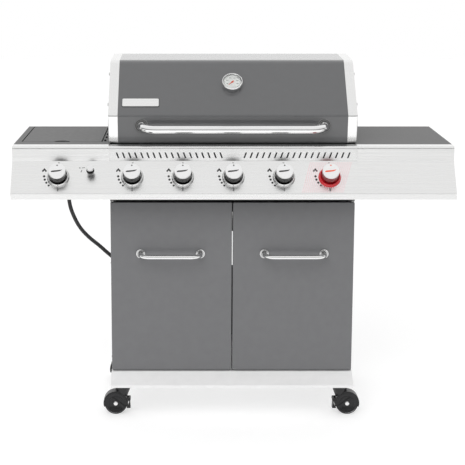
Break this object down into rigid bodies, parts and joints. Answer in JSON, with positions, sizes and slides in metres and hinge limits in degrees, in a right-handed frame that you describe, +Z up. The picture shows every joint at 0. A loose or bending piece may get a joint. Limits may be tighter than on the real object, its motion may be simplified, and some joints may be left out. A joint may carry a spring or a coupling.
{
  "type": "gas barbecue grill",
  "caption": "Free-standing gas grill on a two-door cart, with a hinged hood, side shelves, a flush side burner, control knobs, a gas hose and swivel casters.",
  "frame": {"origin": "on the floor under the middle of the grill's bounding box", "axes": "+X to the right seen from the front, +Y to the back, +Z up"},
  "size_m": [1.451, 0.5675, 1.2016],
  "materials": {
    "painted_grey": "semi-gloss powder coat",
    "shelf_grey": "semi-gloss powder coat",
    "stainless": "brushed",
    "cart_white": "satin",
    "cart_black": "satin",
    "chrome": "polished",
    "plain_steel": "satin",
    "cast_iron": "enamelled",
    "cast_aluminium": "cast",
    "brass": "turned",
    "rubber": "matte",
    "knob_black": "gloss skirt, metal cap",
    "knob_red": "gloss skirt, metal cap",
    "needle_red": "matte",
    "clear_glass": "clear",
    "caster_black": "satin",
    "caster_tyre": "satin"
  },
  "bodies": {
    "cart": {"base_tray": "stainless", "side_panel_left": "cart_white", "side_panel_right": "cart_white", "hose_grommet": "rubber", "back_panel": "cart_black", "front_header": "cart_black", "door_hinge_pins": "plain_steel", "control_panel": "stainless", "shelf_front_left": "stainless", "shelf_front_right": "stainless", "shelf_left": "shelf_grey", "shelf_right": "shelf_grey", "firebox": "cart_black", "burners": "plain_steel", "heat_plates": "plain_steel", "cooking_grates": "cast_iron", "warming_rack": "chrome", "gas_manifold": "plain_steel", "knob_bezels": "chrome", "igniter_collar": "chrome", "side_burner_well": "cart_black", "side_burner": "cast_aluminium", "side_burner_grate": "cast_iron", "lid_hinge_pins": "plain_steel", "caster_plates": "plain_steel", "gas_hose": "rubber", "hose_fitting": "brass", "gas_regulator": "cast_aluminium"},
    "left_door": {"door_left": "painted_grey", "door_handle_left": "chrome"},
    "right_door": {"door_right": "painted_grey", "door_handle_right": "chrome"},
    "lid": {"lid_skin": "painted_grey", "lid_end_cap_left": "stainless", "lid_end_cap_right": "stainless", "lid_handle": "chrome", "gauge_housing": "chrome", "gauge_glass": "clear_glass", "blank_badge": "chrome"},
    "needle": {"gauge_needle": "needle_red"},
    "tray": {"grease_tray": "plain_steel", "grease_cup": "plain_steel"},
    "burner_lid": {"side_burner_lid": "shelf_grey"},
    "igniter": {"igniter_button": "chrome"},
    "knob_side_body": {"knob_side": "knob_black"},
    "knob_1_body": {"knob_1": "knob_black"},
    "knob_2_body": {"knob_2": "knob_black"},
    "knob_3_body": {"knob_3": "knob_black"},
    "knob_4_body": {"knob_4": "knob_black"},
    "knob_sear_body": {"knob_sear": "knob_red"},
    "swivel_front_left": {"caster_fork_front_left": "caster_black"},
    "wheel_front_left": {"caster_wheel_front_left": "caster_tyre"},
    "brake_front_left": {"brake_pedal_front_left": "caster_black"},
    "swivel_front_right": {"caster_fork_front_right": "caster_black"},
    "wheel_front_right": {"caster_wheel_front_right": "caster_tyre"},
    "brake_front_right": {"brake_pedal_front_right": "caster_black"},
    "swivel_back_left": {"caster_fork_back_left": "caster_black"},
    "wheel_back_left": {"caster_wheel_back_left": "caster_tyre"},
    "swivel_back_right": {"caster_fork_back_right": "caster_black"},
    "wheel_back_right": {"caster_wheel_back_right": "caster_tyre"}
  },
  "joints": [
    {"name": "lid_hinge", "type": "hinge", "parent": "cart", "child": "lid", "pos_m": [0, 0.238, 0.972], "axis": [-1, 0, 0], "range_deg": [0, 85]},
    {"name": "side_burner_lid_hinge", "type": "hinge", "parent": "cart", "child": "burner_lid", "pos_m": [-0.571, 0.262, 0.9288], "axis": [-1, 0, 0], "range_deg": [0, 95]},
    {"name": "left_door_hinge", "type": "hinge", "parent": "cart", "child": "left_door", "pos_m": [-0.399, -0.152, 0.45], "axis": [0, 0, -1], "range_deg": [0, 110]},
    {"name": "right_door_hinge", "type": "hinge", "parent": "cart", "child": "right_door", "pos_m": [0.399, -0.152, 0.45], "axis": [0, 0, 1], "range_deg": [0, 110]},
    {"name": "grease_tray_slide", "type": "slide", "parent": "cart", "child": "tray", "axis": [0, 1, 0], "range_m": [0, 0.34]},
    {"name": "gauge_needle_turn", "type": "hinge", "parent": "lid", "child": "needle", "pos_m": [0, -0.0547, 1.12085], "axis": [0, 0.7092, -0.705], "range_deg": [0, 270]},
    {"name": "igniter_push", "type": "slide", "parent": "cart", "child": "igniter", "axis": [0, 0.8174, -0.576], "range_m": [0, 0.0055], "stiffness_N_per_m": 500, "springref_m": -0.002},
    {"name": "knob_side_turn", "type": "hinge", "parent": "cart", "child": "knob_side_body", "pos_m": [-0.572, -0.228, 0.83575], "axis": [0, -0.8174, 0.576], "range_deg": [0, 180]},
    {"name": "knob_1_turn", "type": "hinge", "parent": "cart", "child": "knob_1_body", "pos_m": [-0.33, -0.228, 0.83575], "axis": [0, -0.8174, 0.576], "range_deg": [0, 180]},
    {"name": "knob_2_turn", "type": "hinge", "parent": "cart", "child": "knob_2_body", "pos_m": [-0.165, -0.228, 0.83575], "axis": [0, -0.8174, 0.576], "range_deg": [0, 180]},
    {"name": "knob_3_turn", "type": "hinge", "parent": "cart", "child": "knob_3_body", "pos_m": [0, -0.228, 0.83575], "axis": [0, -0.8174, 0.576], "range_deg": [0, 180]},
    {"name": "knob_4_turn", "type": "hinge", "parent": "cart", "child": "knob_4_body", "pos_m": [0.165, -0.228, 0.83575], "axis": [0, -0.8174, 0.576], "range_deg": [0, 180]},
    {"name": "knob_sear_turn", "type": "hinge", "parent": "cart", "child": "knob_sear_body", "pos_m": [0.3145, -0.228, 0.83575], "axis": [0, -0.8174, 0.576], "range_deg": [0, 180]},
    {"name": "caster_front_left_swivel", "type": "hinge", "parent": "cart", "child": "swivel_front_left", "pos_m": [-0.372, -0.142, 0.1], "axis": [0, 0, 1], "continuous": true},
    {"name": "caster_front_left_roll", "type": "hinge", "parent": "swivel_front_left", "child": "wheel_front_left", "pos_m": [-0.396, -0.142, 0.038], "axis": [0, 1, 0], "continuous": true},
    {"name": "brake_front_left_press", "type": "hinge", "parent": "swivel_front_left", "child": "brake_front_left", "pos_m": [-0.3495, -0.142, 0.05], "axis": [0, 1, 0], "range_deg": [0, 5], "stiffness_Nm_per_rad": 0.05},
    {"name": "caster_front_right_swivel", "type": "hinge", "parent": "cart", "child": "swivel_front_right", "pos_m": [0.372, -0.142, 0.1], "axis": [0, 0, 1], "continuous": true},
    {"name": "caster_front_right_roll", "type": "hinge", "parent": "swivel_front_right", "child": "wheel_front_right", "pos_m": [0.396, -0.142, 0.038], "axis": [0, 1, 0], "continuous": true},
    {"name": "brake_front_right_press", "type": "hinge", "parent": "swivel_front_right", "child": "brake_front_right", "pos_m": [0.3495, -0.142, 0.05], "axis": [0, -1, 0], "range_deg": [0, 5], "stiffness_Nm_per_rad": 0.05},
    {"name": "caster_back_left_swivel", "type": "hinge", "parent": "cart", "child": "swivel_back_left", "pos_m": [-0.372, 0.225, 0.1], "axis": [0, 0, 1], "continuous": true},
    {"name": "caster_back_left_roll", "type": "hinge", "parent": "swivel_back_left", "child": "wheel_back_left", "pos_m": [-0.396, 0.225, 0.038], "axis": [0, 1, 0], "continuous": true},
    {"name": "caster_back_right_swivel", "type": "hinge", "parent": "cart", "child": "swivel_back_right", "pos_m": [0.372, 0.225, 0.1], "axis": [0, 0, 1], "continuous": true},
    {"name": "caster_back_right_roll", "type": "hinge", "parent": "swivel_back_right", "child": "wheel_back_right", "pos_m": [0.396, 0.225, 0.038], "axis": [0, 1, 0], "continuous": true}
  ]
}
